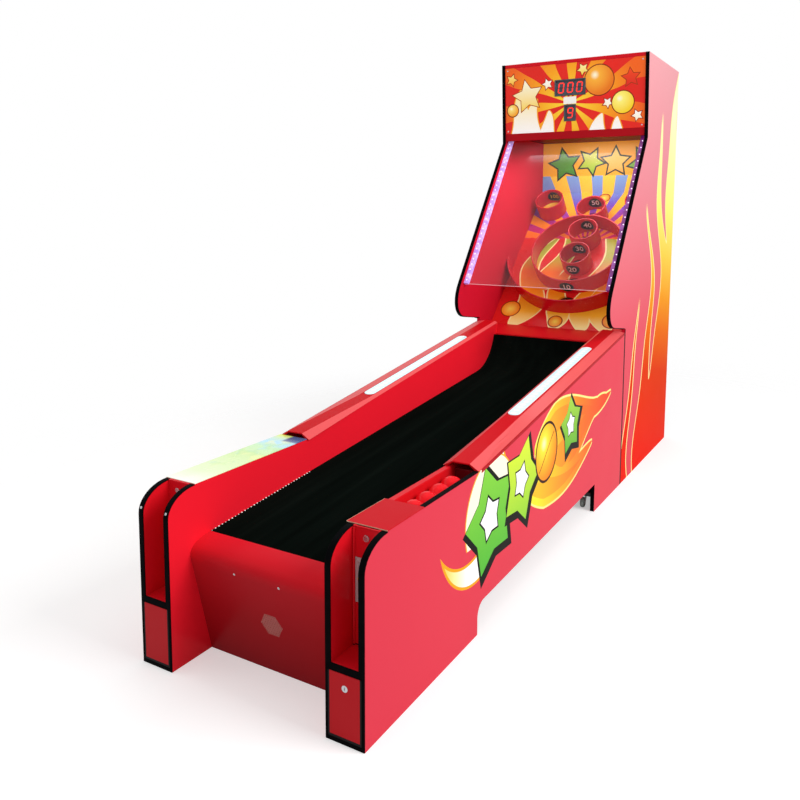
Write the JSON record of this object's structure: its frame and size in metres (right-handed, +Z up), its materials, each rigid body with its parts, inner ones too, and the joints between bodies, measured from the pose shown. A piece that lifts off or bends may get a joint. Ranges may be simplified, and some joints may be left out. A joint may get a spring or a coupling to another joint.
{
  "type": "skee ball machine",
  "caption": "Free-standing alley roller game: padded lane with ramp between two side boxes, ball tray, coin door, and a tall cabinet with ringed target board, shield and marquee.",
  "frame": {"origin": "middle of the machine's footprint, on the floor", "axes": "+X to the player's right, +Y along the lane away from the player, +Z up"},
  "size_m": [0.78, 3.2, 2.1],
  "materials": {
    "red_board": "gloss red laminate on board",
    "black_edging": "satin black edge moulding",
    "lock_steel": "polished",
    "red_metal": "gloss red paint",
    "mechanism_steel": "satin",
    "yellow_button": "gloss",
    "lane_mat": "fine matt black",
    "plain_board": "plain board",
    "pale_plate": "gloss printed sheet",
    "red_plastic": "gloss",
    "light_lens": "lit milky lens",
    "ball_red": "gloss",
    "castor_steel": "zinc plated",
    "castor_rubber": "matt",
    "rear_board": "matt black board",
    "marquee_print": "printed gloss sheet",
    "display_case": "satin",
    "target_print": "printed gloss board",
    "light_channel": "milky channel",
    "clear_sheet": "clear sheet",
    "ring_plastic": "gloss moulded"
  },
  "bodies": {
    "machine": {"left_outer_side": "red_board", "left_inner_side": "red_board", "right_outer_side": "red_board", "right_inner_side": "red_board", "left_post_trim": "black_edging", "right_post_trim": "black_edging", "left_lower_panel": "red_board", "left_niche_liner": "red_board", "right_niche_frame": "red_board", "front_panel": "red_board", "lane_mat": "lane_mat", "lane_deck": "plain_board", "left_top_plate": "pale_plate", "right_top_plate": "red_metal", "left_rail_cover": "red_plastic", "right_rail_cover": "red_plastic", "left_light_strip": "light_lens", "right_light_strip": "light_lens", "ball_tray": "red_metal", "castor_board": "plain_board", "left_cabinet_side": "red_board", "right_cabinet_side": "red_board", "left_cabinet_trim": "black_edging", "right_cabinet_trim": "black_edging", "cabinet_top": "red_board", "rear_panel": "rear_board", "marquee_panel": "marquee_print", "score_display": "display_case", "header_ceiling": "red_board", "backboard": "target_print", "left_light_channel": "light_channel", "right_light_channel": "light_channel", "clear_shield": "clear_sheet", "target_board": "target_print", "big_ring": "ring_plastic", "outer_ring": "ring_plastic", "cup_30": "ring_plastic", "cup_40": "ring_plastic", "cup_50": "ring_plastic", "left_corner_cup": "ring_plastic", "right_corner_cup": "ring_plastic", "apron_panel": "red_board", "ball_return_chute": "plain_board"},
    "lower_door": {"right_lower_door": "red_board"},
    "lower_lock": {"lower_door_lock": "lock_steel"},
    "coin_door": {"coin_door": "red_metal", "coin_mechanism": "mechanism_steel"},
    "coin_lock": {"coin_door_lock": "lock_steel"},
    "reject_button": {"coin_reject_button": "yellow_button"},
    "rear_door": {"rear_door": "rear_board"},
    "rear_lock": {"rear_door_lock": "lock_steel"},
    "ball_gate": {"ball_gate": "mechanism_steel"},
    "ball_1": {"ball_1": "ball_red"},
    "ball_2": {"ball_2": "ball_red"},
    "ball_3": {"ball_3": "ball_red"},
    "ball_4": {"ball_4": "ball_red"},
    "left_castor": {"left_castor_fork": "castor_steel"},
    "left_wheel": {"left_castor_wheel": "castor_rubber"},
    "right_castor": {"right_castor_fork": "castor_steel"},
    "right_wheel": {"right_castor_wheel": "castor_rubber"}
  },
  "joints": [
    {"name": "lower_door_hinge", "type": "hinge", "parent": "machine", "child": "lower_door", "pos_m": [0.331, -1.6, 0.0126], "axis": [1, 0, 0], "range_deg": [0, 90]},
    {"name": "lower_lock_turn", "type": "hinge", "parent": "lower_door", "child": "lower_lock", "pos_m": [0.331, -1.5969, 0.149], "axis": [0, 1, 0], "range_deg": [0, 90]},
    {"name": "coin_door_hinge", "type": "hinge", "parent": "machine", "child": "coin_door", "pos_m": [0.294, -1.502, 0.365], "axis": [0, 0, -1], "range_deg": [0, 80]},
    {"name": "coin_lock_turn", "type": "hinge", "parent": "coin_door", "child": "coin_lock", "pos_m": [0.331, -1.5, 0.499], "axis": [0, 1, 0], "range_deg": [0, 90]},
    {"name": "reject_button_press", "type": "slide", "parent": "coin_door", "child": "reject_button", "axis": [0, 1, 0], "range_m": [0, 0.003], "stiffness_N_per_m": 300},
    {"name": "rear_door_hinge", "type": "hinge", "parent": "machine", "child": "rear_door", "pos_m": [-0.2292, 1.594, 0.62], "axis": [0, 0, 1], "range_deg": [0, 110]},
    {"name": "rear_lock_turn", "type": "hinge", "parent": "rear_door", "child": "rear_lock", "pos_m": [0.1972, 1.594, 0.62], "axis": [0, 1, 0], "range_deg": [0, 90]},
    {"name": "ball_gate_swing", "type": "hinge", "parent": "machine", "child": "ball_gate", "pos_m": [0.331, -0.932, 0.514], "axis": [1, 0, 0], "range_deg": [0, 75]},
    {"name": "ball_1_travel", "type": "slide", "parent": "machine", "child": "ball_1", "axis": [0, 1, 0], "range_m": [0, 0.05]},
    {"name": "ball_2_travel", "type": "slide", "parent": "machine", "child": "ball_2", "axis": [0, 1, 0], "range_m": [0, 0.05]},
    {"name": "ball_3_travel", "type": "slide", "parent": "machine", "child": "ball_3", "axis": [0, 1, 0], "range_m": [0, 0.05]},
    {"name": "ball_4_travel", "type": "slide", "parent": "machine", "child": "ball_4", "axis": [0, 1, 0], "range_m": [0, 0.05]},
    {"name": "left_castor_swivel", "type": "hinge", "parent": "machine", "child": "left_castor", "pos_m": [-0.331, 0.28, 0.062], "axis": [0, 0, 1], "continuous": true},
    {"name": "left_wheel_spin", "type": "hinge", "parent": "left_castor", "child": "left_wheel", "pos_m": [-0.331, 0.266, 0.024], "axis": [1, 0, 0], "continuous": true},
    {"name": "right_castor_swivel", "type": "hinge", "parent": "machine", "child": "right_castor", "pos_m": [0.331, 0.28, 0.062], "axis": [0, 0, 1], "continuous": true},
    {"name": "right_wheel_spin", "type": "hinge", "parent": "right_castor", "child": "right_wheel", "pos_m": [0.331, 0.266, 0.024], "axis": [1, 0, 0], "continuous": true}
  ],
  "couplings": [
    {"joint": "ball_2_travel", "follows": "ball_1_travel", "ratio": 1},
    {"joint": "ball_3_travel", "follows": "ball_1_travel", "ratio": 1},
    {"joint": "ball_4_travel", "follows": "ball_1_travel", "ratio": 1}
  ]
}
